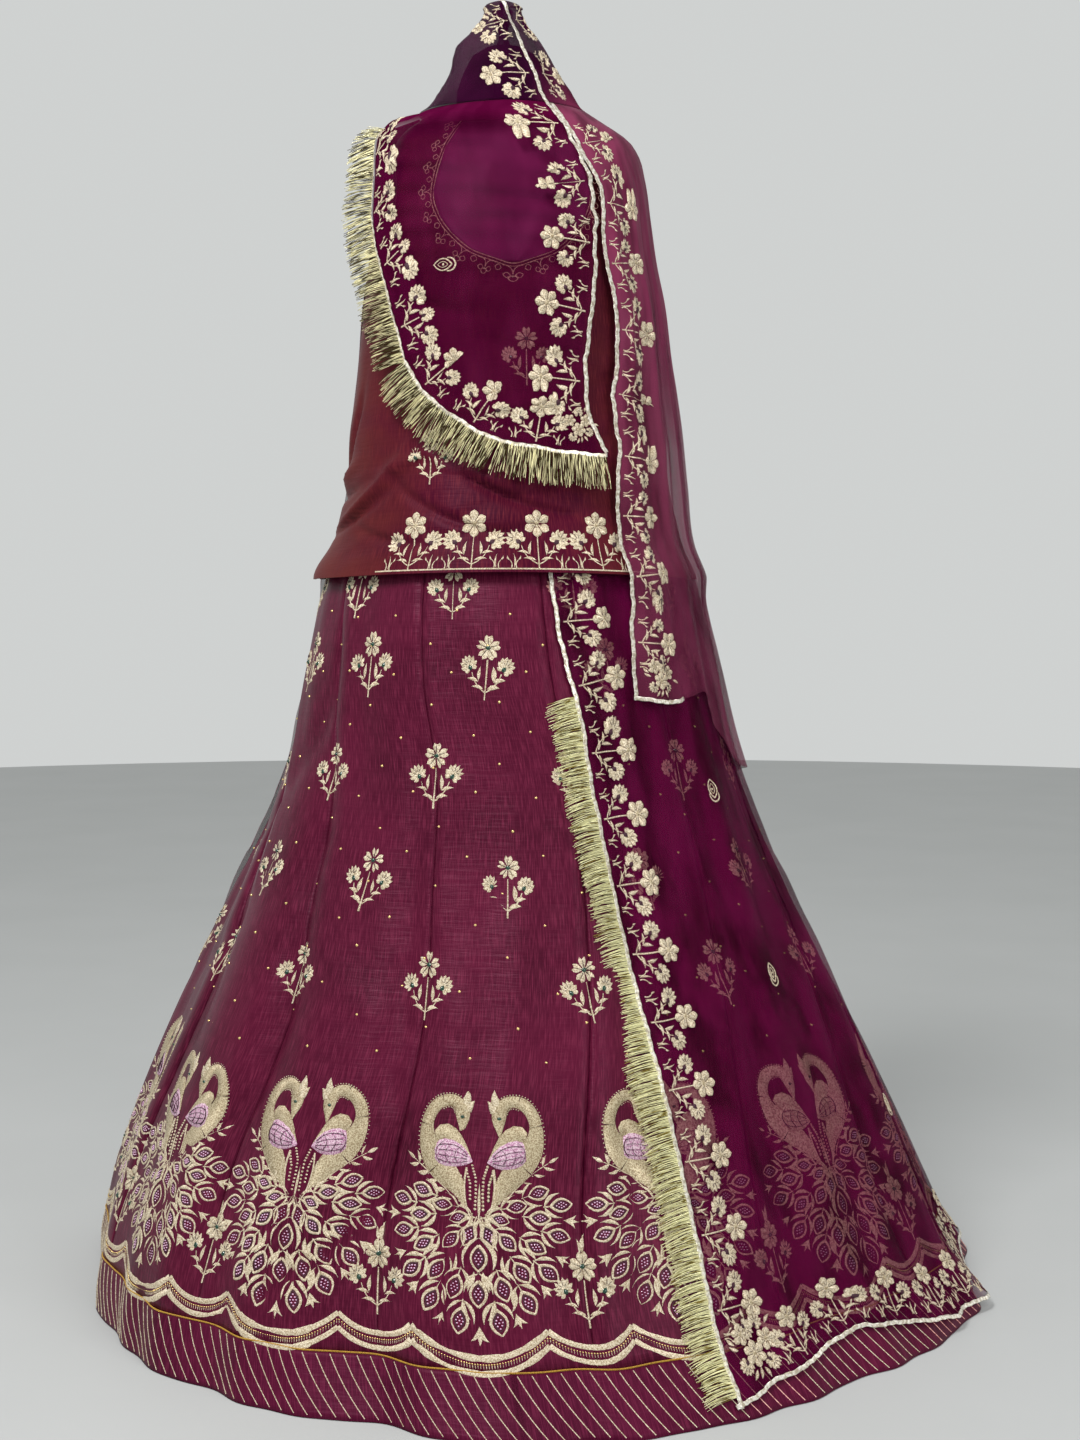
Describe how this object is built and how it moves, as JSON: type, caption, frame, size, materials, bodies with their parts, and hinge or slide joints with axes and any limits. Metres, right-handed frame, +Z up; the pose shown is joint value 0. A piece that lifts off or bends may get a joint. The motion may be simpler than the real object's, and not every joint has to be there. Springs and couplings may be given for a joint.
{
  "type": "rajputi poshak on a dress form",
  "caption": "Flared gored skirt, sleeveless tunic and sheer fringed veil in plum with cream-gold embroidery, worn by a limbless dress form on a pole and round base.",
  "frame": {"origin": "centre of the dress form's base on the floor", "axes": "+Z up the pole, the garment's front towards -Y, the veil's hanging end towards +X"},
  "size_m": [1.1038, 1.0308, 1.5695],
  "materials": {
    "skirt_silk": "plum silk with cream-gold thread embroidery",
    "band_silk": "plum silk quilted in diagonal gold lines under a yellow piping",
    "tunic_silk": "shot silk, copper over plum",
    "veil_voile": "sheer deep plum voile",
    "ribbon_silver": "silver-gold metal-thread ribbon",
    "fringe_tinsel": "gold metal-thread fringe",
    "form_velvet": "black velvet cover over a moulded shell",
    "form_metal": "black satin paint"
  },
  "bodies": {
    "root": {"form_base": "form_metal", "form_finial": "form_metal", "form_neck_cap": "form_velvet", "form_pole": "form_metal", "form_torso": "form_velvet", "fringe_chest_bottom": "fringe_tinsel", "fringe_chest_side": "fringe_tinsel", "fringe_tucked": "fringe_tinsel", "gore_01": "skirt_silk", "gore_02": "skirt_silk", "gore_03": "skirt_silk", "gore_04": "skirt_silk", "gore_05": "skirt_silk", "gore_06": "skirt_silk", "gore_07": "skirt_silk", "gore_08": "skirt_silk", "gore_09": "skirt_silk", "gore_10": "skirt_silk", "gore_11": "skirt_silk", "gore_12": "skirt_silk", "gore_13": "skirt_silk", "gore_14": "skirt_silk", "gore_15": "skirt_silk", "hem_band_01": "band_silk", "hem_band_02": "band_silk", "hem_band_03": "band_silk", "hem_band_04": "band_silk", "hem_band_05": "band_silk", "hem_band_06": "band_silk", "hem_band_07": "band_silk", "hem_band_08": "band_silk", "hem_band_09": "band_silk", "hem_band_10": "band_silk", "hem_band_11": "band_silk", "hem_band_12": "band_silk", "hem_band_13": "band_silk", "hem_band_14": "band_silk", "hem_band_15": "band_silk", "ribbon_chest_bottom": "ribbon_silver", "ribbon_chest_left": "ribbon_silver", "ribbon_chest_right": "ribbon_silver", "ribbon_fall": "ribbon_silver", "ribbon_hood": "ribbon_silver", "ribbon_tucked": "ribbon_silver", "tunic_back": "tunic_silk", "tunic_front": "tunic_silk", "veil_back": "veil_voile", "veil_chest": "veil_voile", "veil_fall": "veil_voile", "veil_hood": "veil_voile", "veil_tucked": "veil_voile", "waistband": "skirt_silk"}
  },
  "joints": []
}
